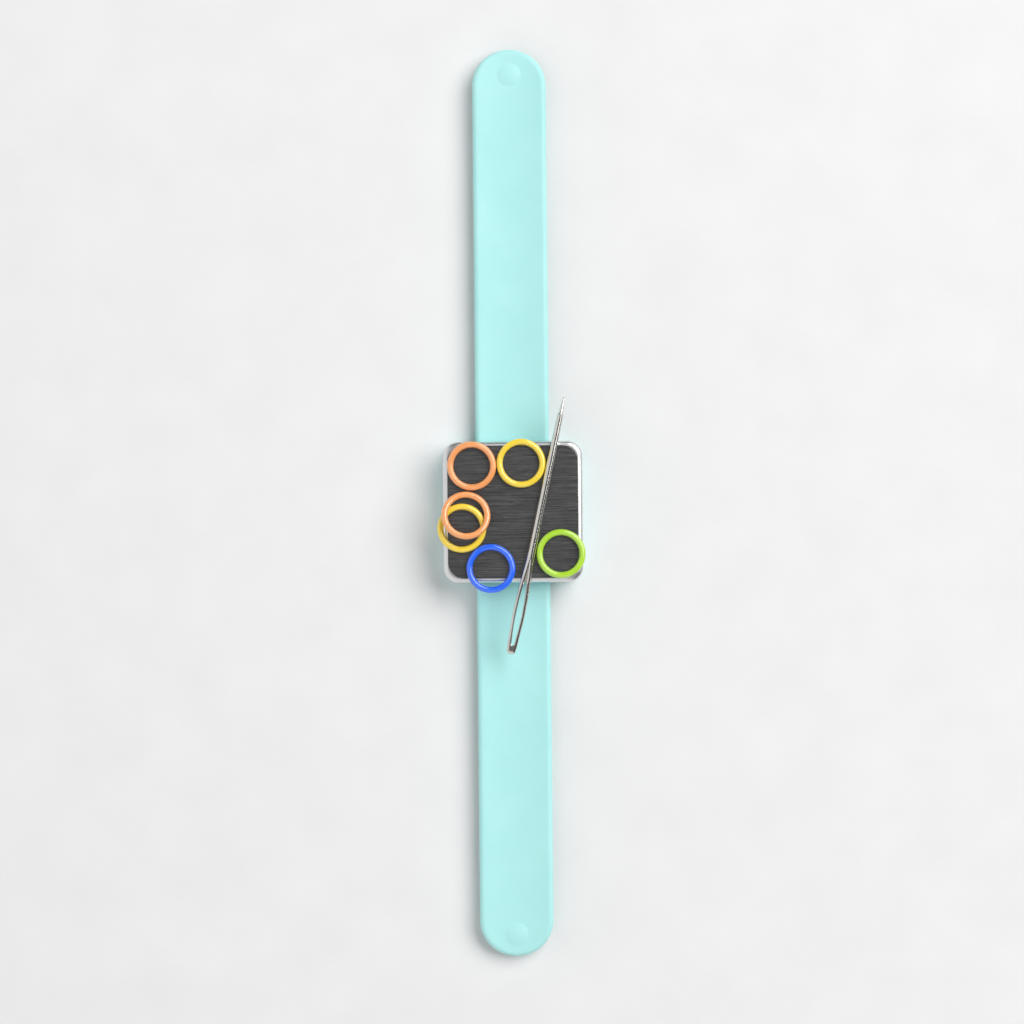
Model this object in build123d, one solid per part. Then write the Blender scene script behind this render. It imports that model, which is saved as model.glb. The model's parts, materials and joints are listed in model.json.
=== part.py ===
from build123d import *

import math
import os

# A magnetic wrist pin holder on a slap band. A square case with magnets under its face slides along
# a silicone sleeve that has a curved steel tape spring inside. Six ring stitch markers and a darning
# needle lie on the face, held by the magnets.
#
# Millimetres. +Z points away from the wrist and +Y along the straight band. The origin is at the
# centre of the case's underside, the face that rests on a wrist or a table.

# Band
BAND_LENGTH = 228.6  # nine inches from tip to tip
BAND_WIDTH = 18.5
BAND_SHIFT = 2.3  # how far the band's middle lies from the case's middle, along +Y
SLEEVE_THICKNESS = 2.2
TROUGH_RADIUS = 36.0  # of the band's hollow cross-section, at half its thickness
SPRING_WIDTH = 15.0
SPRING_THICKNESS = 0.25
SPRING_TO_TIP = 10.0  # the steel strip stops this far from each tip
POCKET_GAP = 0.05  # between the steel strip and the pocket around it
DOME_DIAMETER = 5.8
DOME_HEIGHT = 0.5
DOME_TO_TIP = {-1: 5.6, 1: 6.4}  # on the front arm and on the rear arm

# The band curls link by link. The links are short beside the case, where a band bends most, and
# long under the wrist. Each hinge line is the lowest line of the band, where the two links meet.
CORE_HALF = 21.0  # the length either side of the band's middle that stays inside the case
LINKS = [5.5, 6.0, 6.5, 6.5, 7.0, 8.0, 9.5, 12.0, 14.0]  # the tip's link takes the rest
LINK_GAP = 0.1

# Case, from the wrist up
CASE_X = 35.0
CASE_Y = 35.4
CASE_CORNER = 3.9
BAND_LOW = 1.25  # the band's lowest line runs just above the base cover
COVER_TOP = 1.1
CHANNEL_TOP = 5.0
CHANNEL_WIDTH = 19.3
DECK_TOP = 5.8
YOKE_TOP = 6.3
MAGNET_TOP = 7.9
SHEET_TOP = 8.1
RIM_TOP = 8.85
PLATE_TOP = 9.0
PLATE_X = 32.5
PLATE_Y = 33.0
PLATE_CORNER = 4.0
PLATE_GAP = 0.1
RIM_SLOPE = 11.0  # degrees, of the bezel's top towards its outer edge
RIM_FILLET = 1.1
BEZEL_FLANGE = 0.7  # how far the bezel's foot reaches in under the magnet carrier
HOUSING_INSET = 0.2  # the housing's sides lie behind the bezel's
FOOT_FILLET = 0.5
CHANNEL_WALL = 1.0
SIDE_WALL = 1.45
MAGNET_RADIUS = 6.0
MAGNET_PLACE = 7.4  # of each of the four magnets, along X and along Y
SCREW_X = 13.45
SCREW_Y = 13.2
SCREW_RADIUS = 0.8
SCREW_HEAD_RADIUS = 1.55
SCREW_HEAD_DEPTH = 0.7
SCREW_SUNK = 0.05
SCREW_END = 4.2
BOSS_RADIUS = 2.3
RUNNING_GAP = 0.05

# Ring stitch markers: a round wire bent into a closed ring
RING_MEAN_RADIUS = 5.36
WIRE_RADIUS = 0.8
REST_GAP = 0.05  # between a notion and what it lies on
FLAT_RINGS = {
    "ring_marker_orange_a": (-10.22, 11.6),
    "ring_marker_yellow_a": (2.13, 12.18),
    "ring_marker_yellow_b": (-12.82, -3.92),
    "ring_marker_blue": (-5.64, -14.07),
    "ring_marker_green": (11.93, -10.52),
}
# The second orange ring leans on the second yellow one, which lifts its nearer side.
LEANING_RING = (-11.75, -0.75)
LEAN_ANGLE = 15.0

# Darning needle, from the end of its eye to its tip
NEEDLE_LENGTH = 65.6
NEEDLE_EYE_END = (-0.97, -35.6)
NEEDLE_TURN = -12.3  # about Z, from +Y
NEEDLE_HALF_WIDTHS = [  # distance from the eye's end, half width
    (0.0, 0.6),
    (0.6, 1.0),
    (3.0, 1.3),
    (6.0, 1.43),
    (10.0, 1.58),
    (15.0, 1.48),
    (20.0, 1.25),
    (26.0, 1.04),
    (45.0, 0.95),
    (61.2, 0.76),
]
NEEDLE_CONE = [(61.6, 0.6), (65.3, 0.3), (65.6, 0.1)]
EYE_THICKNESS = 1.3
EYE_FLAT_END = 20.0
EYE_BLEND_END = 28.0
EYE_HALF_WIDTHS = [(3.0, 0.34), (6.0, 0.58), (10.0, 0.7), (15.0, 0.56), (17.8, 0.25)]
EYE_ENDS = (2.4, 18.5)
GUTTER_END = 24.3
GUTTER_HALF_WIDTH = 0.45
GUTTER_FLOOR = 0.3
NEEDLE_AXIS_Z = PLATE_TOP + REST_GAP + 1.08


def rounded_block(size_x, size_y, corner, low, high):
    """An upright block with rounded corners between two heights."""
    return Pos(0, 0, low) * extrude(RectangleRounded(size_x, size_y, corner), high - low)


def upright_cylinder(x, y, radius, low, high):
    """A cylinder between two heights."""
    return Pos(x, y, (low + high) / 2) * Cylinder(radius, high - low)


def outer_edges(solid, height):
    """The edges of a solid that lie flat at one height."""
    return [edge for edge in solid.edges() if abs(edge.center().Z - height) < 1e-6]


# ---- Band ----


def trough(width, thickness):
    """The band's hollow cross-section, with full-round edges, in X and Z."""
    middle_z = BAND_LOW + SLEEVE_THICKNESS / 2 + TROUGH_RADIUS
    half_angle = math.degrees(math.asin((width - thickness) / 2 / TROUGH_RADIUS))
    middle = CenterArc((0, middle_z), TROUGH_RADIUS, 270 - half_angle, 2 * half_angle)
    return SlotArc(middle, thickness)


def along_band(section, start, end):
    """A section drawn out along Y between two distances from the band's middle."""
    low, high = sorted((start, end))
    plane = Plane.XZ.offset(-(BAND_SHIFT + high))
    return extrude(plane * section, high - low)


def sleeve_piece(start, end):
    """A length of the silicone sleeve, with the pocket for the steel strip through it."""
    pocket = trough(SPRING_WIDTH + 2 * POCKET_GAP, SPRING_THICKNESS + 2 * POCKET_GAP)
    return along_band(trough(BAND_WIDTH, SLEEVE_THICKNESS) - pocket, start, end)


def spring_piece(start, end):
    """A length of the steel tape spring."""
    return along_band(trough(SPRING_WIDTH, SPRING_THICKNESS), start, end)


def end_dome(side):
    """The moulded dome near a tip of the sleeve."""
    radius = DOME_DIAMETER / 2
    ball = (radius**2 + DOME_HEIGHT**2) / (2 * DOME_HEIGHT)
    base_z = BAND_LOW + SLEEVE_THICKNESS
    y = BAND_SHIFT + side * (BAND_LENGTH / 2 - DOME_TO_TIP[side])
    root = 0.4  # how far the dome's foot reaches into the sleeve
    cap = Pos(0, y, base_z + DOME_HEIGHT - ball) * Sphere(ball)
    return cap & upright_cylinder(0, y, radius + root, base_z - root, base_z + DOME_HEIGHT + 1)


def sleeve_tip(side, start):
    """The last length of the sleeve: a round end, a closed pocket and a dome."""
    tip = BAND_LENGTH / 2
    pocket_end = tip - SPRING_TO_TIP + POCKET_GAP
    solid = along_band(trough(BAND_WIDTH, SLEEVE_THICKNESS), side * start, side * tip)
    round_radius = BAND_WIDTH / 2 + 0.05
    round_y = BAND_SHIFT + side * (tip - round_radius)
    plan = upright_cylinder(0, round_y, round_radius, 0, DECK_TOP)
    straight = Pos(0, round_y - side * BAND_WIDTH, DECK_TOP / 2)
    plan += straight * Box(2 * round_radius, 2 * BAND_WIDTH, DECK_TOP)
    pocket = trough(SPRING_WIDTH + 2 * POCKET_GAP, SPRING_THICKNESS + 2 * POCKET_GAP)
    pocket = along_band(pocket, side * (start - 1), side * pocket_end)
    return (solid & plan) - pocket + end_dome(side)


def arm(side):
    """One arm of the band: a list of pairs, sleeve and spring, from the case outward."""
    pieces = []
    start = CORE_HALF
    for length in LINKS:
        ends = (side * (start + LINK_GAP / 2), side * (start + length - LINK_GAP / 2))
        pieces.append((sleeve_piece(*ends), spring_piece(*ends)))
        start += length
    near = start + LINK_GAP / 2
    far = BAND_LENGTH / 2 - SPRING_TO_TIP
    pieces.append((sleeve_tip(side, near), spring_piece(side * near, side * far)))
    return pieces


# ---- Case ----


def make_base_cover():
    """The flat cover under the band, with a countersunk hole at each corner."""
    cover = rounded_block(CASE_X, CASE_Y, CASE_CORNER, 0, COVER_TOP)
    cover = fillet(outer_edges(cover, 0), FOOT_FILLET)
    head = SCREW_HEAD_RADIUS + RUNNING_GAP
    hole = SCREW_RADIUS + RUNNING_GAP
    for x, y in screw_places():
        cover -= upright_cylinder(x, y, hole, 0, COVER_TOP)
        cover -= upright_cylinder(x, y, head, 0, SCREW_SUNK)
        cover -= Pos(x, y, SCREW_SUNK + SCREW_HEAD_DEPTH / 2) * Cone(head, hole, SCREW_HEAD_DEPTH)
    return cover


def screw_places():
    """The four corners where the base cover is screwed on."""
    return [(x, y) for x in (-SCREW_X, SCREW_X) for y in (-SCREW_Y, SCREW_Y)]


def make_cover_screws():
    """Four countersunk screws with a cross recess."""
    screws = []
    for x, y in screw_places():
        head_z = SCREW_SUNK + SCREW_HEAD_DEPTH / 2
        screw = Pos(x, y, head_z) * Cone(SCREW_HEAD_RADIUS, SCREW_RADIUS, SCREW_HEAD_DEPTH)
        screw += upright_cylinder(x, y, SCREW_RADIUS, SCREW_SUNK + SCREW_HEAD_DEPTH, SCREW_END)
        for turn in (0, 90):
            screw -= Pos(x, y, SCREW_SUNK) * Rot(0, 0, turn) * Box(1.7, 0.36, 0.9)
        screws.append(screw.solid())
    return Compound(screws)


def side_pocket(side):
    """The hollow between the band's channel and a side wall, less its two screw bosses."""
    inner = CHANNEL_WIDTH / 2 + CHANNEL_WALL
    outer = CASE_X / 2 - SIDE_WALL
    height = CHANNEL_TOP - COVER_TOP
    block = Box(outer - inner, CASE_Y - 2 * SIDE_WALL, height)
    pocket = Pos(side * (inner + outer) / 2, 0, COVER_TOP + height / 2) * block
    for y in (-SCREW_Y, SCREW_Y):
        pocket -= upright_cylinder(side * SCREW_X, y, BOSS_RADIUS, COVER_TOP, CHANNEL_TOP)
    return pocket


def make_housing():
    """The plastic body: a deck under the magnets, and a channel for the band."""
    size_x, size_y = CASE_X - 2 * HOUSING_INSET, CASE_Y - 2 * HOUSING_INSET
    shell = rounded_block(size_x, size_y, CASE_CORNER - HOUSING_INSET, COVER_TOP, DECK_TOP)
    height = CHANNEL_TOP - COVER_TOP
    channel = Box(CHANNEL_WIDTH, CASE_Y + 2, height)
    shell -= Pos(0, 0, COVER_TOP + height / 2) * channel
    for side in (-1, 1):
        shell -= side_pocket(side)
    for x, y in screw_places():
        shell -= upright_cylinder(x, y, SCREW_RADIUS + RUNNING_GAP, COVER_TOP, SCREW_END + 0.2)
    return shell


def make_bezel():
    """The metal frame round the face plate, which the magnet carrier holds down by its foot."""
    frame = rounded_block(CASE_X, CASE_Y, CASE_CORNER, DECK_TOP, RIM_TOP)
    lip = (CASE_X - PLATE_X) / 2 - PLATE_GAP
    drop = lip * math.tan(math.radians(RIM_SLOPE))
    top = frame.faces().sort_by(Axis.Z)[-1]
    frame = chamfer(outer_edges(frame, RIM_TOP), lip, drop, reference=top)
    frame = fillet(outer_edges(frame, RIM_TOP - drop), RIM_FILLET)
    frame -= rounded_block(
        PLATE_X + 2 * PLATE_GAP,
        PLATE_Y + 2 * PLATE_GAP,
        PLATE_CORNER + PLATE_GAP,
        YOKE_TOP,
        RIM_TOP + 1,
    )
    frame -= rounded_block(
        PLATE_X + 2 * PLATE_GAP - 2 * BEZEL_FLANGE,
        PLATE_Y + 2 * PLATE_GAP - 2 * BEZEL_FLANGE,
        PLATE_CORNER,
        DECK_TOP,
        YOKE_TOP,
    )
    return frame


def make_magnet_yoke():
    """The thin steel sheet that closes the magnets' field on the wrist side."""
    return rounded_block(PLATE_X - 1.5, PLATE_Y - 1.5, PLATE_CORNER, DECK_TOP, YOKE_TOP)


def magnet_places():
    """The centres of the four magnets."""
    places = (-MAGNET_PLACE, MAGNET_PLACE)
    return [(x, y) for x in places for y in places]


def make_magnet_carrier():
    """The plastic frame that holds the four magnets apart."""
    frame = rounded_block(PLATE_X - 0.2, PLATE_Y - 0.2, PLATE_CORNER, YOKE_TOP, MAGNET_TOP)
    for x, y in magnet_places():
        frame -= upright_cylinder(x, y, MAGNET_RADIUS + RUNNING_GAP, YOKE_TOP, MAGNET_TOP)
    return frame


def make_disc_magnets():
    """Four disc magnets."""
    return Compound(
        [
            upright_cylinder(x, y, MAGNET_RADIUS, YOKE_TOP, MAGNET_TOP).solid()
            for x, y in magnet_places()
        ]
    )


def make_adhesive_sheet():
    """The adhesive sheet between the carrier and the face plate."""
    return rounded_block(PLATE_X - 1, PLATE_Y - 1, PLATE_CORNER, MAGNET_TOP, SHEET_TOP)


def make_face_plate():
    """The brushed plate that pins and needles lie on, with a broken top edge."""
    plate = rounded_block(PLATE_X, PLATE_Y, PLATE_CORNER, SHEET_TOP, PLATE_TOP)
    return chamfer(outer_edges(plate, PLATE_TOP), 0.12)


# ---- Notions ----


def flat_ring(x, y):
    """A ring marker that lies flat on the face plate."""
    return Pos(x, y, PLATE_TOP + REST_GAP + WIRE_RADIUS) * Torus(RING_MEAN_RADIUS, WIRE_RADIUS)


def leaning_ring():
    """The ring marker with its far side on the plate and its near side on another ring."""
    under = FLAT_RINGS["ring_marker_yellow_b"]
    toward = math.degrees(math.atan2(under[1] - LEANING_RING[1], under[0] - LEANING_RING[0]))
    rise = RING_MEAN_RADIUS * math.sin(math.radians(LEAN_ANGLE))
    centre_z = PLATE_TOP + REST_GAP + WIRE_RADIUS + rise
    place = Pos(*LEANING_RING, centre_z) * Rot(0, 0, toward) * Rot(0, -LEAN_ANGLE, 0)
    return place * Torus(RING_MEAN_RADIUS, WIRE_RADIUS)


def needle_blank():
    """The needle's round body, turned about Y from its eye's end to its tip."""
    side = Spline(*[(width, y) for y, width in NEEDLE_HALF_WIDTHS])
    cone = Polyline(side @ 1, *[(width, y) for y, width in NEEDLE_CONE], (0, NEEDLE_LENGTH))
    axis = Polyline(cone @ 1, (0, 0), side @ 0)
    return revolve(make_face(side + cone + axis), Axis.Y)


def eye_flats():
    """What the eye's two flat faces leave: thin at the eye, full along the shaft."""
    thin = EYE_THICKNESS / 2
    full = 1.3
    upper = [(-1, thin), (EYE_FLAT_END, thin), (EYE_BLEND_END, full), (NEEDLE_LENGTH + 1, full)]
    lower = [(y, -z) for y, z in reversed(upper)]
    outline = make_face(Polyline(*upper, *lower, close=True))
    return extrude(Plane.YZ * outline, 4, both=True)


def eye_opening():
    """The long eye through the needle."""
    right = [(width, y) for y, width in EYE_HALF_WIDTHS]
    left = [(-width, y) for y, width in reversed(EYE_HALF_WIDTHS)]
    outline = Spline((0, EYE_ENDS[0]), *right, (0, EYE_ENDS[1]), *left, periodic=True)
    return extrude(make_face(outline), 3, both=True)


def eye_gutters():
    """The groove that leads the thread into the eye, on both faces."""
    outline = Polyline(
        (-GUTTER_HALF_WIDTH, EYE_ENDS[1] - 1),
        (GUTTER_HALF_WIDTH, EYE_ENDS[1] - 1),
        (0, GUTTER_END),
        close=True,
    )
    upper = Pos(0, 0, GUTTER_FLOOR) * extrude(make_face(outline), 3)
    return upper + mirror(upper, about=Plane.XY)


def make_darning_needle():
    """A blunt needle with a long eye, lying across the face plate."""
    needle = (needle_blank() & eye_flats()) - eye_opening() - eye_gutters()
    return Pos(*NEEDLE_EYE_END, NEEDLE_AXIS_Z) * Rot(0, 0, NEEDLE_TURN) * needle


def all_nodes():
    """Every sub-part by its name."""
    core = (-CORE_HALF + LINK_GAP / 2, CORE_HALF - LINK_GAP / 2)
    nodes = {
        "base_cover": make_base_cover(),
        "cover_screws": make_cover_screws(),
        "housing": make_housing(),
        "bezel": make_bezel(),
        "magnet_yoke": make_magnet_yoke(),
        "magnet_carrier": make_magnet_carrier(),
        "disc_magnets": make_disc_magnets(),
        "adhesive_sheet": make_adhesive_sheet(),
        "face_plate": make_face_plate(),
        "sleeve_core": sleeve_piece(*core),
        "spring_core": spring_piece(*core),
        "darning_needle": make_darning_needle(),
        "ring_marker_orange_b": leaning_ring(),
    }
    for name, (x, y) in FLAT_RINGS.items():
        nodes[name] = flat_ring(x, y)
    for arm_name, side in (("front", -1), ("rear", 1)):
        for number, (sleeve, spring) in enumerate(arm(side), start=1):
            nodes[f"sleeve_{arm_name}_{number:02d}"] = sleeve
            nodes[f"spring_{arm_name}_{number:02d}"] = spring
    return nodes


os.makedirs("parts", exist_ok=True)
for node_name, shape in all_nodes().items():
    export_step(shape, f"parts/{node_name}.step")
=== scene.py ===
import json
import math

import bmesh
import bpy
import numpy as np
from mathutils import Matrix, Vector
from mathutils.geometry import delaunay_2d_cdt


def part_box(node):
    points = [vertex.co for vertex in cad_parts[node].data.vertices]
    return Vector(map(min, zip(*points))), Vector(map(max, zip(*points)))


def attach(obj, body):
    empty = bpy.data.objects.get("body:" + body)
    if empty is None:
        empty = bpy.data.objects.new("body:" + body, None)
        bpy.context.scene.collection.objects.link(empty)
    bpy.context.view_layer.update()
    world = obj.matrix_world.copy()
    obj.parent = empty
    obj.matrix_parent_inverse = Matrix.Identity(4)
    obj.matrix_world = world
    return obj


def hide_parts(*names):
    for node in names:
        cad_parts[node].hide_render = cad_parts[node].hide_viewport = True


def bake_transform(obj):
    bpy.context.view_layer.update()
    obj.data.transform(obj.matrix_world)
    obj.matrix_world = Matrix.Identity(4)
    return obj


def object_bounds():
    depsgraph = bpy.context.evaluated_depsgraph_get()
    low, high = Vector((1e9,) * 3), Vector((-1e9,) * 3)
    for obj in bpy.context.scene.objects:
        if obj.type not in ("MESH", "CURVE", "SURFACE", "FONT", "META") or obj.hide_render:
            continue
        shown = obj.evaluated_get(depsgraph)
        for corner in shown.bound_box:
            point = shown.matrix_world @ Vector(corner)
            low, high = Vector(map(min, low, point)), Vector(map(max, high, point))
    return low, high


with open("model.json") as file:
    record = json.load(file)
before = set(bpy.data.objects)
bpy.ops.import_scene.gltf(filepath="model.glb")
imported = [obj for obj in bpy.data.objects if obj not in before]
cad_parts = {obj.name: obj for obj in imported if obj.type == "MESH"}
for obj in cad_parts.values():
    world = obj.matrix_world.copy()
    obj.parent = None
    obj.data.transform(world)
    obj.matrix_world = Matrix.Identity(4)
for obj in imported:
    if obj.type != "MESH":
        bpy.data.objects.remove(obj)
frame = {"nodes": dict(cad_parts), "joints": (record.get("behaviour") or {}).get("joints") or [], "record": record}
cad_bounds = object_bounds()
joints = {joint["name"]: joint for joint in frame["joints"]}

# The looks of a magnetic wrist pin holder: a silicone slap band through a square magnetic case,
# with ring stitch markers and a darning needle on its face. Metres, in the frame of the packed
# model: +Z away from the wrist, +Y along the straight band.

MM = 0.001

# Band, as in the CAD model
SLEEVE_THICKNESS = 2.2 * MM
TROUGH_RADIUS = 36.0 * MM
SPRING_WIDTH = 15.0 * MM
SPRING_THICKNESS = 0.25 * MM
POCKET_GAP = 0.05 * MM
SPRING_TO_TIP = 10.0 * MM
DOME_RADIUS = 2.9 * MM
DOME_HEIGHT = 0.5 * MM
DOME_SOFTNESS = 0.08 * MM  # rounds the corner at the dome's foot
DOME_TO_TIP = {-1: 5.6 * MM, 1: 6.4 * MM}  # on the front arm and on the rear arm

# How finely the band is meshed
ACROSS_STEPS = 20
EDGE_STEPS = 12
ALONG_STEP = 0.7 * MM
TIP_GRID = 0.5 * MM
LAST_BLEND = 7.0 * MM  # how far the last joint's bend reaches into the tip's link
DOME_STEPS = 72

# How finely the notions are meshed
RING_STEPS = 144
WIRE_STEPS = 36
ENAMEL_WAVE = 0.008  # of the wire's radius
ROUND_STEPS = 8
SHAFT_STEPS = 12
MERGE_DISTANCE = 0.0005 * MM

# Darning needle, in millimetres from the end of its eye: the CAD model's, drawn more finely
NEEDLE_EYE_END = (-0.97, -35.6)
NEEDLE_TURN = math.radians(-12.3)
NEEDLE_LENGTH = 65.6
NEEDLE_HALF_WIDTHS = [
    (0.9, 1.14),
    (1.5, 1.22),
    (3.0, 1.32),
    (6.0, 1.43),
    (10.0, 1.58),
    (13.0, 1.54),
    (16.0, 1.45),
    (20.0, 1.25),
    (26.0, 1.04),
    (45.0, 0.95),
    (61.2, 0.76),
]
NEEDLE_CONE = [(61.5, 0.58), (65.3, 0.3)]
EYE_HALF_THICKNESS = 0.65
EYE_FLAT_END = 18.0
EYE_BLEND_END = 26.0
EYE_HALF_WIDTHS = [
    (2.74, 0.34),
    (4.0, 0.42),
    (6.0, 0.58),
    (9.0, 0.7),
    (12.0, 0.67),
    (15.0, 0.56),
    (18.1, 0.3),
]
ROD_OUTER_ROUNDING = 0.45  # how far in from its outer edge a rod of the eye is rounded
ROD_INNER_ROUNDING = 0.12
GUTTER_END = 24.3
GUTTER_HALF_WIDTH = 0.5
GUTTER_DEPTH = 0.75  # of the needle's height, at the eye
# Between the needle's mesh rows, from its eye to its tip
HEAD_ROW = 0.12
EYE_ROW = 0.4
CORNER_ROW = 0.05  # at the eye's far end
GUTTER_ROW = 0.25
SHAFT_ROW = 0.8
CREASE_ROW = 0.04  # beside the corners of the step
TIP_ROW = 0.5

# Camera: straight overhead
CAMERA_DISTANCE = 0.8
CAMERA_WIDTH = 0.2591  # of the floor that the picture spans
CAMERA_X = -0.24 * MM
CAMERA_ROLL = math.radians(0.55)

# Light, as directions by azimuth from +X towards +Y and by elevation, in degrees
LIGHT_DISTANCE = 3.0
WINDOW_DIRECTION = (35.5, 45)
WINDOW_SIZE = (3.75, 2.3)
WINDOW_GLOW = 5.0
LIT_DIRECTION = (212, 0)  # the side of the room that the light walls are on
LIT_GLOW = (0.85, 0.85, 0.855)
DARK_GLOW = (0.06, 0.06, 0.06)
DUSK = (0.0, 0.22)  # from dark to lit, over the cosine to the lit direction


# ---- Mesh helpers ----


def mesh_object(name, mesh, material):
    """An object of a finished bmesh, smooth but for its sharp edges."""
    data = bpy.data.meshes.new(name)
    bmesh.ops.recalc_face_normals(mesh, faces=mesh.faces)
    for face in mesh.faces:
        face.smooth = True
    mesh.to_mesh(data)
    mesh.free()
    data.materials.append(material)
    piece = bpy.data.objects.new(name, data)
    bpy.context.scene.collection.objects.link(piece)
    return piece


def add_ring(mesh, points):
    """The vertices of one closed loop."""
    return [mesh.verts.new(point) for point in points]


def bridge(mesh, first, second):
    """Quads between two loops of as many vertices."""
    count = len(first)
    for i in range(count):
        j = (i + 1) % count
        mesh.faces.new((first[i], first[j], second[j], second[i]))


def mark_sharp(mesh, ring):
    """Marks a loop's own edges sharp."""
    for i, vertex in enumerate(ring):
        edge = mesh.edges.get((vertex, ring[(i + 1) % len(ring)]))
        edge.smooth = False


# ---- Materials ----


class Shader:
    """A node material built round one Principled shader."""

    def __init__(self, name, **inputs):
        self.material = bpy.data.materials.new(name)
        self.material.use_nodes = True
        self.nodes = self.material.node_tree.nodes
        self.links = self.material.node_tree.links
        self.principled = self.nodes["Principled BSDF"]
        for label, value in inputs.items():
            self.principled.inputs[label.replace("_", " ")].default_value = value
        self.coordinates = self.nodes.new("ShaderNodeTexCoord")

    def noise(self, scale, detail=2.0, stretch=(1, 1, 1)):
        """A noise texture in metres, stretched along the axes."""
        mapping = self.nodes.new("ShaderNodeMapping")
        mapping.inputs["Scale"].default_value = [scale * s for s in stretch]
        texture = self.nodes.new("ShaderNodeTexNoise")
        texture.inputs["Scale"].default_value = 1.0
        texture.inputs["Detail"].default_value = detail
        self.links.new(self.coordinates.outputs["Object"], mapping.inputs["Vector"])
        self.links.new(mapping.outputs["Vector"], texture.inputs["Vector"])
        return texture.outputs["Fac"]

    def ramp(self, value, stops):
        """Colours or greys over a value from 0 to 1."""
        node = self.nodes.new("ShaderNodeValToRGB")
        elements = node.color_ramp.elements
        while len(elements) < len(stops):
            elements.new(0.5)
        for element, (place, colour) in zip(elements, stops):
            element.position = place
            element.color = (*colour, 1)
        self.links.new(value, node.inputs["Fac"])
        return node.outputs["Color"]

    def mix(self, factor, first, second):
        """One colour over another by a factor."""
        node = self.nodes.new("ShaderNodeMix")
        node.data_type = "RGBA"
        # The colour sockets have the same names as the plain ones, so they go by their numbers
        self.links.new(factor, node.inputs["Factor"])
        self.links.new(first, node.inputs[6])
        self.links.new(second, node.inputs[7])
        return node.outputs[2]

    def feed(self, value, label):
        """Links an output to the Principled shader's input."""
        self.links.new(value, self.principled.inputs[label])

    def feed_ramp(self, label, value, stops):
        """Links a ramp over a value to the Principled shader's input."""
        self.feed(self.ramp(value, stops), label)

    def bump(self, value, height, strength=1.0):
        """Bump of a height in metres."""
        node = self.nodes.new("ShaderNodeBump")
        node.inputs["Strength"].default_value = strength
        node.inputs["Distance"].default_value = height
        self.links.new(value, node.inputs["Height"])
        if self.principled.inputs["Normal"].is_linked:
            before = self.principled.inputs["Normal"].links[0].from_socket
            self.links.new(before, node.inputs["Normal"])
        self.links.new(node.outputs["Normal"], self.principled.inputs["Normal"])


def grey(value):
    """A grey colour."""
    return (value, value, value)


def greys(low, high):
    """A ramp's stops from one grey to another."""
    return [(0.3, grey(low)), (0.7, grey(high))]


def silicone_material():
    """Pale mint silicone: soft, slightly cloudy, with a fine moulded texture."""
    shader = Shader("mint_silicone", Roughness=0.5)
    shader.principled.inputs["Specular IOR Level"].default_value = 0.35
    shader.principled.inputs["Subsurface Weight"].default_value = 0.12
    shader.principled.inputs["Subsurface Radius"].default_value = (0.3, 0.5, 0.5)
    shader.principled.inputs["Subsurface Scale"].default_value = 1.0 * MM
    shader.principled.inputs["Sheen Weight"].default_value = 0.08
    mints = [(0.3, (0.425, 0.81, 0.795)), (0.7, (0.455, 0.84, 0.825))]
    shader.feed_ramp("Base Color", shader.noise(90, 3), mints)
    shader.feed_ramp("Roughness", shader.noise(1500), greys(0.46, 0.56))
    shader.bump(shader.noise(4000, 3), 0.01 * MM, 0.5)
    return shader.material


def satin_silver_material():
    """The case's satin silver bezel."""
    shader = Shader("satin_silver", Metallic=1.0)
    shader.feed_ramp("Base Color", shader.noise(1800), greys(0.74, 0.77))
    shader.feed_ramp("Roughness", shader.noise(4000, 4), greys(0.31, 0.35))
    shader.bump(shader.noise(6000, 2), 0.003 * MM, 0.4)
    return shader.material


def brushed_plate_material():
    """The dark face plate, brushed across the band."""
    shader = Shader("brushed_plate", Metallic=1.0)
    long_lines = shader.noise(1, 3, (90, 5200, 90))
    short_lines = shader.noise(1, 2, (420, 9000, 420))
    dark = shader.ramp(long_lines, [(0.3, grey(0.075)), (0.5, grey(0.125)), (0.75, grey(0.205))])
    light = shader.ramp(long_lines, greys(0.16, 0.23))
    glints = shader.ramp(short_lines, [(0.56, grey(0)), (0.7, grey(0.6))])
    shader.feed(shader.mix(glints, dark, light), "Base Color")
    shader.feed_ramp("Roughness", short_lines, greys(0.34, 0.46))
    shader.bump(long_lines, 0.004 * MM, 0.5)
    shader.bump(short_lines, 0.002 * MM, 0.5)
    return shader.material


def enamel_material(name, colour):
    """Gloss enamel on a wire ring."""
    shader = Shader(name)
    shader.principled.inputs["Specular IOR Level"].default_value = 0.6
    shader.principled.inputs["Coat Weight"].default_value = 1.0
    shader.principled.inputs["Coat Roughness"].default_value = 0.05
    dark = tuple(0.95 * channel for channel in colour)
    shader.feed_ramp("Base Color", shader.noise(700, 3), [(0.35, dark), (0.65, colour)])
    shader.feed_ramp("Roughness", shader.noise(2000), greys(0.2, 0.28))
    shader.bump(shader.noise(1200, 1), 0.01 * MM, 0.3)
    return shader.material


def nickel_material(name, roughness):
    """Polished nickel plate."""
    shader = Shader(name, Metallic=1.0)
    tones = [(0.3, (0.66, 0.64, 0.60)), (0.7, (0.74, 0.72, 0.68))]
    shader.feed_ramp("Base Color", shader.noise(800), tones)
    shader.feed_ramp("Roughness", shader.noise(3000, 3), greys(0.8 * roughness, 1.2 * roughness))
    shader.bump(shader.noise(2500, 2), 0.001 * MM, 0.3)
    return shader.material


def steel_material(name, low, high, roughness):
    """Plain steel with rolling lines along the band."""
    shader = Shader(name, Metallic=1.0)
    lines = shader.noise(1, 3, (5000, 120, 5000))
    shader.feed_ramp("Base Color", lines, greys(low, high))
    shader.feed_ramp("Roughness", lines, greys(0.85 * roughness, 1.15 * roughness))
    shader.bump(lines, 0.003 * MM, 0.4)
    return shader.material


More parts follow.
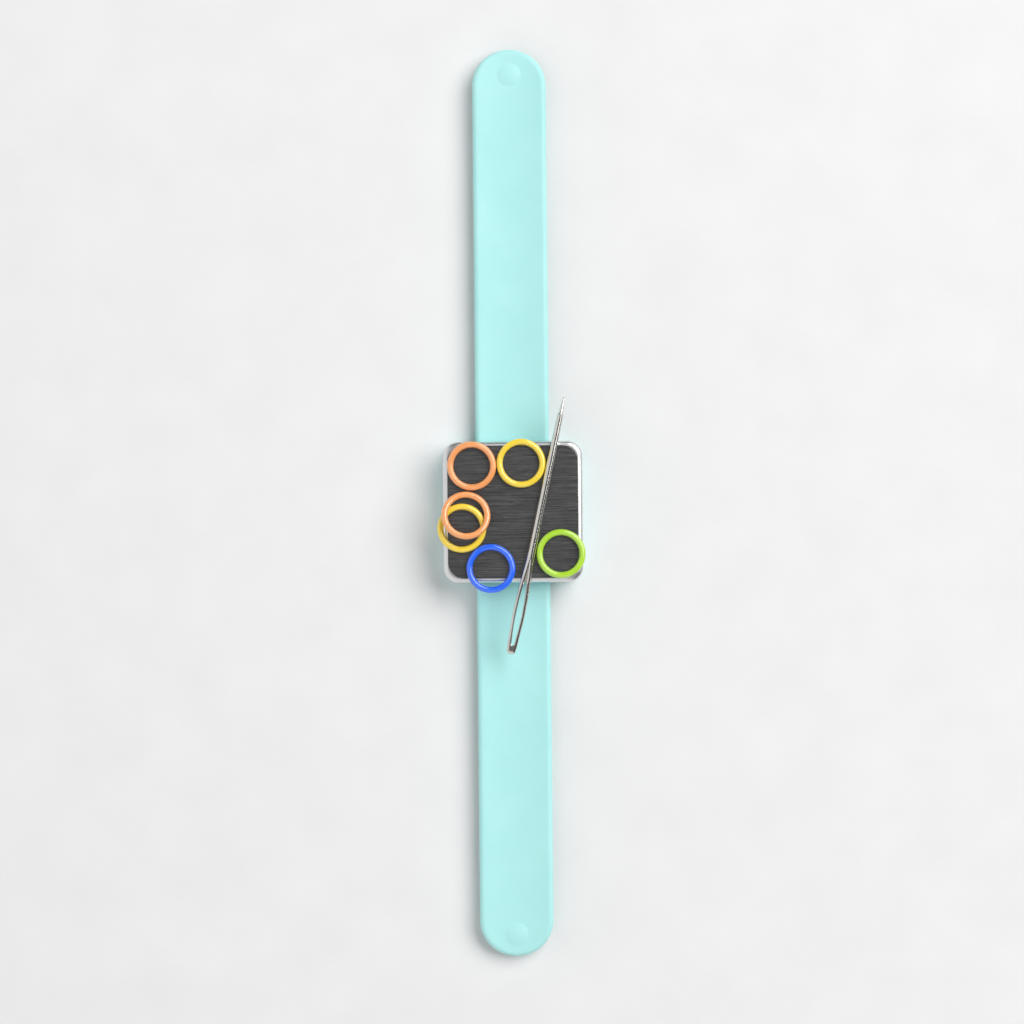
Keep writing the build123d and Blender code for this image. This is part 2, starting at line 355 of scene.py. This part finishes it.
def plastic_material(name, low, high, roughness):
    """Moulded plastic with a fine spark-eroded texture."""
    shader = Shader(name)
    shader.feed_ramp("Base Color", shader.noise(400, 3), [(0.3, low), (0.7, high)])
    shader.feed_ramp("Roughness", shader.noise(5000, 3), greys(0.9 * roughness, 1.1 * roughness))
    shader.bump(shader.noise(7000, 3), 0.02 * MM, 0.5)
    return shader.material


# ---- Silicone sleeve ----

core_low, core_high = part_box("sleeve_core")
band_half_width = core_high.x
band_low = core_low.z
spine_half_width = band_half_width - SLEEVE_THICKNESS / 2
spine_low = band_low + SLEEVE_THICKNESS / 2


def spine_point(x):
    """Height and slope of the sleeve's middle surface at a distance from its middle line."""
    drop = math.sqrt(TROUGH_RADIUS**2 - x**2)
    return spine_low + TROUGH_RADIUS - drop, x / drop


def skin_point(x, offset):
    """A point in X and Z at an offset above or below the middle surface."""
    z, slope = spine_point(x)
    length = math.hypot(1, slope)
    return x - offset * slope / length, z + offset / length


def edge_point(side, offset, turn, half_width):
    """A point of the full-round edge: turn is 90 degrees at the top and -90 at the bottom."""
    z, slope = spine_point(half_width)
    length = math.hypot(1, slope)
    outward, up = offset * math.cos(turn), offset * math.sin(turn)
    x = half_width + (outward - up * slope) / length
    return side * x, z + (outward * slope + up) / length


def across_places(half_width):
    """Distances from the middle line, from the left edge of the middle surface to the right one."""
    return [half_width * (2 * i / ACROSS_STEPS - 1) for i in range(ACROSS_STEPS + 1)]


def section_points(half_width, thickness):
    """The closed outline of the band's hollow section: bottom, right edge, top, left edge."""
    offset = thickness / 2
    spine = half_width - offset
    places = across_places(spine)
    turns = [math.pi * (i / EDGE_STEPS - 0.5) for i in range(1, EDGE_STEPS)]
    bottom = [skin_point(x, -offset) for x in places]
    right = [edge_point(1, offset, turn, spine) for turn in turns]
    top = [skin_point(x, offset) for x in reversed(places)]
    left = [edge_point(-1, offset, turn, spine) for turn in reversed(turns)]
    return bottom + right + top + left


SLEEVE_SECTION = section_points(band_half_width, SLEEVE_THICKNESS)
POCKET_SECTION = section_points(SPRING_WIDTH / 2 + POCKET_GAP, SPRING_THICKNESS + 2 * POCKET_GAP)


def section_ring(mesh, section, y):
    """A loop of the section at a place along the band."""
    return add_ring(mesh, [(x, y, z) for x, z in section])


def drawn_tube(mesh, section, places):
    """A section drawn through places along the band. Its first and last loops come back."""
    rings = [section_ring(mesh, section, y) for y in places]
    for first, second in zip(rings, rings[1:]):
        bridge(mesh, first, second)
    return rings[0], rings[-1]


def steps_between(start, end, step):
    """Even places from start to end, about a step apart."""
    count = max(1, round(abs(end - start) / step))
    return [start + (end - start) * i / count for i in range(count + 1)]


def sleeve_span(name, start, end, material):
    """A length of sleeve with its pocket, closed at both ends by flat faces."""
    mesh = bmesh.new()
    places = steps_between(start, end, ALONG_STEP)
    skins = drawn_tube(mesh, SLEEVE_SECTION, places)
    pockets = drawn_tube(mesh, POCKET_SECTION, places)
    for skin, pocket in zip(skins, pockets):
        bridge(mesh, skin, pocket)
        mark_sharp(mesh, skin)
        mark_sharp(mesh, pocket)
    return mesh_object(name, mesh, material)


def dome_rise(distance):
    """Height of the moulded dome over the sleeve at a distance from the dome's middle."""
    ball = (DOME_RADIUS**2 + DOME_HEIGHT**2) / (2 * DOME_HEIGHT)
    cap = math.sqrt(max(0.0, ball**2 - distance**2)) - (ball - DOME_HEIGHT)
    return (cap + math.hypot(cap, DOME_SOFTNESS)) / 2


def tip_outline(side, seam, centre):
    """The outline of the tip's middle surface in plan: the seam, a side, the round end, a side."""
    outline = [(x, seam) for x in across_places(spine_half_width)]
    straight = steps_between(seam, centre, TIP_GRID)[1:-1]
    outline += [(spine_half_width, y) for y in straight]
    for turn in steps_between(0, math.pi, TIP_GRID / spine_half_width):
        x, beyond = spine_half_width * math.cos(turn), spine_half_width * math.sin(turn)
        outline.append((x, centre + side * beyond))
    outline += [(-spine_half_width, y) for y in reversed(straight)]
    return outline


def tip_inside(side, seam, tip, centre, clear):
    """Points inside the tip's outline in plan, but for a clear space round the dome."""
    points = []
    margin = spine_half_width - 0.6 * TIP_GRID
    dome_y = tip - side * DOME_TO_TIP[side]
    columns = int(spine_half_width / TIP_GRID)
    for i in range(-columns, columns + 1):
        for j in range(1, int(abs(tip - seam) / TIP_GRID)):
            x, y = (i + 0.5 * (j % 2)) * TIP_GRID, seam + side * j * TIP_GRID
            in_plan = math.hypot(x, max(0.0, side * (y - centre))) < margin
            if in_plan and math.hypot(x, y - dome_y) > clear:
                points.append((x, y))
    return points


def dome_points(dome_y):
    """Points of the dome and its foot in plan, close together where it curves most."""
    # As shares of the dome's radius: even steps on the cap, then close ones at its foot
    ratios = [0.12, 0.24, 0.36, 0.48, 0.6, 0.72, 0.82, 0.89, 0.94, 0.97, 0.985, 1.0]
    ratios += [1.015, 1.03, 1.06, 1.1, 1.16, 1.24]
    points = [(0, dome_y)]
    for ratio in ratios:
        for turn in steps_between(0, 2 * math.pi, 2 * math.pi / DOME_STEPS)[:-1]:
            x, y = DOME_RADIUS * math.cos(turn), DOME_RADIUS * math.sin(turn)
            points.append((ratio * x, dome_y + ratio * y))
    return points


def tip_skin(mesh, outline, inside, offset, dome_y):
    """The tip's skin at an offset from the middle surface. Its outline comes back."""
    points = [Vector(point) for point in outline + inside]
    edges = [(i, (i + 1) % len(outline)) for i in range(len(outline))]
    # The 1 keeps only the triangles inside the outline
    plan, _, faces, _, _, _ = delaunay_2d_cdt(points, edges, [], 1, 1e-9)
    verts = []
    for x, y in plan:
        px, pz = skin_point(x, offset)
        rise = dome_rise(math.hypot(px, y - dome_y)) if offset > 0 else 0
        verts.append(mesh.verts.new((px, y, pz + rise)))
    for face in faces:
        mesh.faces.new([verts[i] for i in face])
    return verts[: len(outline)]


def sleeve_tip(name, side, seam, tip, material):
    """The round end of the sleeve, with its dome and the closed end of the pocket."""
    mesh = bmesh.new()
    offset = SLEEVE_THICKNESS / 2
    centre = tip - side * band_half_width
    dome_y = tip - side * DOME_TO_TIP[side]
    outline = tip_outline(side, seam, centre)
    clear = DOME_RADIUS + 2.5 * TIP_GRID
    above = tip_inside(side, seam, tip, centre, clear) + dome_points(dome_y)
    below = tip_inside(side, seam, tip, centre, 0)
    top = tip_skin(mesh, outline, above, offset, dome_y)
    bottom = tip_skin(mesh, outline, below, -offset, dome_y)
    # The full-round edge, from the top skin to the bottom one, round everything but the seam
    count = len(outline)
    around = [(ACROSS_STEPS + i) % count for i in range(count - ACROSS_STEPS + 1)]
    strips = [[top[i] for i in around]]
    for step in range(1, EDGE_STEPS):
        turn = math.pi * (0.5 - step / EDGE_STEPS)
        spots = [rim_point(*outline[i], side, centre, offset, turn) for i in around]
        strips.append([mesh.verts.new(spot) for spot in spots])
    strips.append([bottom[i] for i in around])
    for upper, lower in zip(strips, strips[1:]):
        for i in range(len(around) - 1):
            mesh.faces.new((upper[i], upper[i + 1], lower[i + 1], lower[i]))
    # The flat face at the seam, and the pocket's closed end
    skin = bottom[: ACROSS_STEPS + 1] + [strip[0] for strip in reversed(strips[1:-1])]
    skin += list(reversed(top[: ACROSS_STEPS + 1])) + [strip[-1] for strip in strips[1:-1]]
    pocket_end = tip - side * (SPRING_TO_TIP - POCKET_GAP)
    near, far = drawn_tube(mesh, POCKET_SECTION, steps_between(seam, pocket_end, ALONG_STEP))
    bridge(mesh, skin, near)
    mesh.faces.new(far)
    for loop in (skin, near, far):
        mark_sharp(mesh, loop)
    return mesh_object(name, mesh, material)


def rim_point(x, y, side, centre, offset, turn):
    """A point of the tip's full-round edge, outside a point of the middle surface's outline."""
    z, slope = spine_point(x)
    plan = Vector((x, max(0.0, side * (y - centre)) * side, 0)).normalized()
    outward = Vector((plan.x, plan.y, slope * plan.x)).normalized()
    up = Vector((-slope, 0, 1)).normalized()
    return Vector((x, y, z)) + offset * (math.cos(turn) * outward + math.sin(turn) * up)


def make_sleeve():
    """The sleeve as pieces, one over each joint, with a rigid core and two tips."""
    material = silicone_material()
    core_ends = {}
    for arm, side in (("front", -1), ("rear", 1)):
        names = sorted(name for name in joints if name.startswith(f"{arm}_curl_"))
        hinges = [joints[name]["pos_m"][1] for name in names]
        low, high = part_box(f"sleeve_{arm}_{len(names):02d}")
        tip = low.y if side < 0 else high.y
        # Midway between the hinges, and as far before the first one as the next seam is beyond it
        seams = [1.5 * hinges[0] - 0.5 * hinges[1]]
        seams += [(a + b) / 2 for a, b in zip(hinges, hinges[1:])]
        seams.append(hinges[-1] + side * LAST_BLEND)
        core_ends[side] = seams[0]
        for number, name in enumerate(names, start=1):
            start, end = seams[number - 1], seams[number]
            piece = sleeve_span(f"sleeve_{arm}_bend_{number:02d}", start, end, material)
            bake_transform(piece)
            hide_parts(f"sleeve_{arm}_{number:02d}")
        piece = sleeve_tip(f"sleeve_{arm}_tip", side, seams[-1], tip, material)
        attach(piece, joints[names[-1]]["child"])
        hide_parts(f"sleeve_{arm}_{len(names):02d}")
    piece = sleeve_span("sleeve_middle", core_ends[-1], core_ends[1], material)
    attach(piece, "band_core")
    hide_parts("sleeve_core")


# ---- Ring markers ----


def ring_frame(node):
    """A ring's place as a matrix with its axis along Z, its mean radius and its wire's radius."""
    low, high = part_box(node)
    centre = (low + high) / 2
    corners = [vertex.co - centre for vertex in frame["nodes"][node].data.vertices]
    spread = np.array(corners)
    directions = np.linalg.eigh(spread.T @ spread)[1]
    axis = Vector(directions[:, 0])  # the direction in which the ring's corners spread least
    if axis.z < 0:
        axis = -axis
    turn = Vector((0, 0, 1)).rotation_difference(axis).to_matrix()
    radii = [(turn.inverted() @ corner).xy.length for corner in corners]
    mean, wire = (max(radii) + min(radii)) / 2, (max(radii) - min(radii)) / 2
    return Matrix.Translation(centre) @ turn.to_4x4(), mean, wire


def make_ring(node, body, material):
    """A wire ring in the place of its CAD node, with the slight waves of dipped enamel."""
    mesh = bmesh.new()
    place, mean, wire = ring_frame(node)
    phase = 40 * place.translation.x / mean  # so that no two rings are alike
    rings = []
    for around in steps_between(0, 2 * math.pi, 2 * math.pi / RING_STEPS)[:-1]:
        wave = math.sin(3 * around + phase) + 0.6 * math.sin(7 * around - 2 * phase)
        # The wave is never over 1.6, so the enamel never stands out from the CAD wire
        thick = wire * (1 - ENAMEL_WAVE * (1.6 - wave))
        points = []
        for section in steps_between(0, 2 * math.pi, 2 * math.pi / WIRE_STEPS)[:-1]:
            radius = mean + thick * math.cos(section)
            spot = (radius * math.cos(around), radius * math.sin(around), thick * math.sin(section))
            points.append(place @ Vector(spot))
        rings.append(add_ring(mesh, points))
    for first, second in zip(rings, rings[1:] + rings[:1]):
        bridge(mesh, first, second)
    piece = mesh_object(node.replace("ring_marker", "ring"), mesh, material)
    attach(piece, body)
    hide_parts(node)


def make_rings():
    """All six ring markers."""
    colours = {
        "enamel_orange": (1.0, 0.40, 0.14),
        "enamel_yellow": (1.0, 0.74, 0.06),
        "enamel_blue": (0.022, 0.155, 1.0),
        "enamel_green": (0.47, 0.78, 0.045),
    }
    materials = {name: enamel_material(name, colour) for name, colour in colours.items()}
    slots = {sub["node"]: sub["material_slot"] for sub in frame["record"]["subparts"]}
    for body, members in frame["record"]["behaviour"]["bodies"].items():
        for node in members:
            if node.startswith("ring_marker"):
                make_ring(node, body, materials[slots[node]])


# ---- Darning needle ----


def smooth_curve(points):
    """A smooth function through points, which keeps its end values beyond them."""
    places = [place for place, _ in points]
    values = [value for _, value in points]
    last = len(points) - 1
    slopes = []
    for i in range(len(points)):
        before, after = max(0, i - 1), min(last, i + 1)
        slopes.append((values[after] - values[before]) / (places[after] - places[before]))

    def curve(place):
        if place <= places[0]:
            return values[0]
        if place >= places[-1]:
            return values[-1]
        i = max(k for k in range(last) if places[k] <= place)
        span = places[i + 1] - places[i]
        t = (place - places[i]) / span
        start = values[i] + t * span * slopes[i]
        end = values[i + 1] - (1 - t) * span * slopes[i + 1]
        return start + (end - start) * t * t * (3 - 2 * t)

    return curve


def smooth_step(value, start, end):
    """From 0 at start to 1 at end, with level ends."""
    t = min(1.0, max(0.0, (value - start) / (end - start)))
    return t * t * (3 - 2 * t)


def swell(ratio):
    """Height of a full round at a distance from its edge, both as shares of its radius."""
    inward = min(1.0, max(0.0, ratio))
    return math.sqrt(inward * (2 - inward))


shaft_curve = smooth_curve(NEEDLE_HALF_WIDTHS)
eye_curve = smooth_curve(EYE_HALF_WIDTHS)
HEAD_ROUND = NEEDLE_HALF_WIDTHS[0][0]
EYE_START, EYE_START_RADIUS = EYE_HALF_WIDTHS[0]
EYE_STOP, EYE_STOP_RADIUS = EYE_HALF_WIDTHS[-1]
STEP_START = NEEDLE_HALF_WIDTHS[-1][0]
STEP_END, CONE_END = NEEDLE_CONE[0][0], NEEDLE_CONE[1][0]


def needle_half_width(t):
    """The needle's outer half width at a distance from the end of its eye."""
    if t < HEAD_ROUND:
        return shaft_curve(HEAD_ROUND) * swell(t / HEAD_ROUND)
    if t <= STEP_START:
        return shaft_curve(t)
    (_, step_width), (_, cone_width) = NEEDLE_CONE
    if t <= STEP_END:
        share = (t - STEP_START) / (STEP_END - STEP_START)
        return shaft_curve(t) + share * (step_width - shaft_curve(t))
    if t <= CONE_END:
        share = (t - STEP_END) / (CONE_END - STEP_END)
        return step_width + share * (cone_width - step_width)
    return cone_width * swell((NEEDLE_LENGTH - t) / (NEEDLE_LENGTH - CONE_END))


def eye_half_width(t):
    """The eye's half width: a smooth opening with round ends."""
    if t < EYE_START:
        return math.sqrt(max(0.0, EYE_START_RADIUS**2 - (EYE_START - t) ** 2))
    if t > EYE_STOP:
        return math.sqrt(max(0.0, EYE_STOP_RADIUS**2 - (t - EYE_STOP) ** 2))
    return eye_curve(t)


def eye_distance(x, t):
    """Distance from the eye's edge."""
    if t < EYE_START:
        return math.hypot(x, EYE_START - t) - EYE_START_RADIUS
    if t > EYE_STOP:
        return math.hypot(x, t - EYE_STOP) - EYE_STOP_RADIUS
    return x - eye_curve(t)


def needle_height(x, t):
    """Half the needle's thickness at a place of its plan."""
    width = needle_half_width(t)
    full = smooth_step(t, EYE_FLAT_END, EYE_BLEND_END)  # 0 on the flat eye, 1 on the round shaft
    if width <= x:
        return 0.0
    rounding = ROD_OUTER_ROUNDING + full * (width - ROD_OUTER_ROUNDING)
    height = EYE_HALF_THICKNESS + full * (width - EYE_HALF_THICKNESS)
    height *= swell((width - x) / rounding) * swell(eye_distance(x, t) / ROD_INNER_ROUNDING)
    height *= swell(t / HEAD_ROUND)
    left = min(1.0, max(0.0, (GUTTER_END - t) / (GUTTER_END - EYE_STOP)))
    if 0 < left and EYE_STOP < t:
        valley = max(0.0, 1 - (x / (GUTTER_HALF_WIDTH * math.sqrt(left))) ** 2) ** 2
        height *= 1 - GUTTER_DEPTH * left * valley
    return height


def needle_stations():
    """Distances from the eye's end at which the needle's mesh has its rows."""
    quarter = [math.pi / 2 * i / ROUND_STEPS for i in range(ROUND_STEPS + 1)]
    eye_low, eye_high = EYE_START - EYE_START_RADIUS, EYE_STOP + EYE_STOP_RADIUS
    tip_round = NEEDLE_LENGTH - CONE_END
    stations = [HEAD_ROUND * (1 - math.cos(turn)) for turn in quarter]
    stations += steps_between(HEAD_ROUND, eye_low, HEAD_ROW)
    stations += [EYE_START - EYE_START_RADIUS * math.cos(turn) for turn in quarter]
    stations += steps_between(EYE_START, EYE_STOP, EYE_ROW)
    stations += [EYE_STOP + EYE_STOP_RADIUS * math.sin(turn) for turn in quarter]
    stations += steps_between(eye_high, eye_high + ROD_INNER_ROUNDING, CORNER_ROW)
    stations += steps_between(eye_high + ROD_INNER_ROUNDING, GUTTER_END, GUTTER_ROW)
    stations += steps_between(GUTTER_END, STEP_START - 2.5 * CREASE_ROW, SHAFT_ROW)
    stations += [STEP_START - CREASE_ROW, STEP_START, STEP_START + CREASE_ROW]
    stations += [STEP_END - CREASE_ROW, STEP_END]
    stations += steps_between(STEP_END + CREASE_ROW, CONE_END, TIP_ROW)
    stations += [CONE_END + tip_round * math.sin(turn) for turn in quarter]
    return sorted(set(stations))


def make_needle():
    """The needle as one skin: a round shaft, a long eye with round edges, and a stepped tip."""
    low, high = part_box("darning_needle")
    axis_height = (low.z + high.z) / 2
    place = Matrix.Translation((NEEDLE_EYE_END[0] * MM, NEEDLE_EYE_END[1] * MM, axis_height))
    place = place @ Matrix.Rotation(NEEDLE_TURN, 4, "Z")
    mesh = bmesh.new()
    shares = [(1 - math.cos(math.pi * i / SHAFT_STEPS)) / 2 for i in range(SHAFT_STEPS + 1)]
    for side in (-1, 1):
        for up in (-1, 1):
            before = None
            for t in needle_stations():
                inner, outer = eye_half_width(t), needle_half_width(t)
                row = []
                for share in shares:
                    x = inner + share * (outer - inner)
                    spot = Vector((side * x, t, up * needle_height(x, t))) * MM
                    row.append(mesh.verts.new(place @ spot))
                if before:
                    for i in range(SHAFT_STEPS):
                        mesh.faces.new((before[i], before[i + 1], row[i + 1], row[i]))
                before = row
    bmesh.ops.remove_doubles(mesh, verts=mesh.verts, dist=MERGE_DISTANCE)
    piece = mesh_object("needle_polished", mesh, nickel_material("needle_nickel", 0.16))
    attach(piece, "needle")
    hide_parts("darning_needle")


# ---- CAD nodes that keep their own shape ----


def dress(names, material):
    """Gives CAD nodes a material in place of their own."""
    for name in names:
        data = frame["nodes"][name].data
        data.materials.clear()
        data.materials.append(material)


def dress_cad_nodes():
    """Materials for the case and the steel strip."""
    mint = plastic_material("mint_plastic", (0.42, 0.82, 0.80), (0.46, 0.86, 0.84), 0.5)
    dress(["bezel"], satin_silver_material())
    dress(["housing", "base_cover"], mint)
    dress(["face_plate"], brushed_plate_material())
    dress(["cover_screws"], steel_material("screw_steel", 0.5, 0.6, 0.3))
    dress(["magnet_yoke"], steel_material("yoke_steel", 0.4, 0.5, 0.4))
    dress(["magnet_carrier"], plastic_material("carrier_plastic", grey(0.03), grey(0.05), 0.5))
    dress(["disc_magnets"], nickel_material("magnet_nickel", 0.2))
    dress(["adhesive_sheet"], plastic_material("adhesive_foam", grey(0.6), grey(0.7), 0.9))
    springs = [name for name in frame["nodes"] if name.startswith("spring_")]
    dress(springs, steel_material("spring_steel", 0.42, 0.52, 0.3))


# ---- Stage ----


def make_floor():
    """A plain pale floor under the case."""
    bpy.ops.mesh.primitive_plane_add(size=6, location=(0, 0, cad_bounds[0].z))
    floor = bpy.context.object
    floor.name = "floor"
    shader = Shader("floor", Roughness=0.9)
    shader.feed_ramp("Base Color", shader.noise(60, 4), greys(0.80, 0.83))
    floor.data.materials.append(shader.material)


def light_direction(azimuth, elevation):
    """A unit vector by azimuth and elevation in degrees."""
    azimuth, elevation = math.radians(azimuth), math.radians(elevation)
    level = math.cos(elevation)
    return Vector((level * math.cos(azimuth), level * math.sin(azimuth), math.sin(elevation)))


def make_window():
    """One wide soft light that faces the case."""
    data = bpy.data.lights.new("window", "AREA")
    data.shape = "ELLIPSE"
    data.size, data.size_y = WINDOW_SIZE
    area = math.pi / 4 * data.size * data.size_y
    data.energy = math.pi * WINDOW_GLOW * area
    light = bpy.data.objects.new("window", data)
    bpy.context.scene.collection.objects.link(light)
    light.location = light_direction(*WINDOW_DIRECTION) * LIGHT_DISTANCE
    light.rotation_euler = (-light.location).to_track_quat("-Z", "Y").to_euler()


def make_world():
    """A plain room, light on the side away from the window and dark overhead and beyond it."""
    world = bpy.data.worlds.new("studio")
    bpy.context.scene.world = world
    world.use_nodes = True
    nodes, links = world.node_tree.nodes, world.node_tree.links
    coordinates = nodes.new("ShaderNodeTexCoord")
    towards = nodes.new("ShaderNodeVectorMath")
    towards.operation = "DOT_PRODUCT"
    towards.inputs[1].default_value = light_direction(*LIT_DIRECTION)
    ramp = nodes.new("ShaderNodeValToRGB")
    links.new(coordinates.outputs["Generated"], towards.inputs[0])
    links.new(towards.outputs["Value"], ramp.inputs["Fac"])
    elements = ramp.color_ramp.elements
    elements[0].position, elements[0].color = DUSK[0], (*DARK_GLOW, 1)
    elements[1].position, elements[1].color = DUSK[1], (*LIT_GLOW, 1)
    links.new(ramp.outputs["Color"], nodes["Background"].inputs["Color"])


def make_camera():
    """A long lens straight overhead, with the band a little off upright in the picture."""
    data = bpy.data.cameras.new("camera")
    data.sensor_width = 36
    data.lens = data.sensor_width * CAMERA_DISTANCE / CAMERA_WIDTH
    data.clip_start = 0.01
    camera = bpy.data.objects.new("camera", data)
    bpy.context.scene.collection.objects.link(camera)
    camera.location = (CAMERA_X, 0, CAMERA_DISTANCE)
    camera.rotation_euler = (0, 0, -CAMERA_ROLL)
    bpy.context.scene.camera = camera


def make_stage():
    """Floor, lights, camera and the picture's tone."""
    make_floor()
    make_world()
    make_window()
    make_camera()
    bpy.context.scene.view_settings.view_transform = "Standard"


make_stage()
make_sleeve()
make_rings()
make_needle()
dress_cad_nodes()
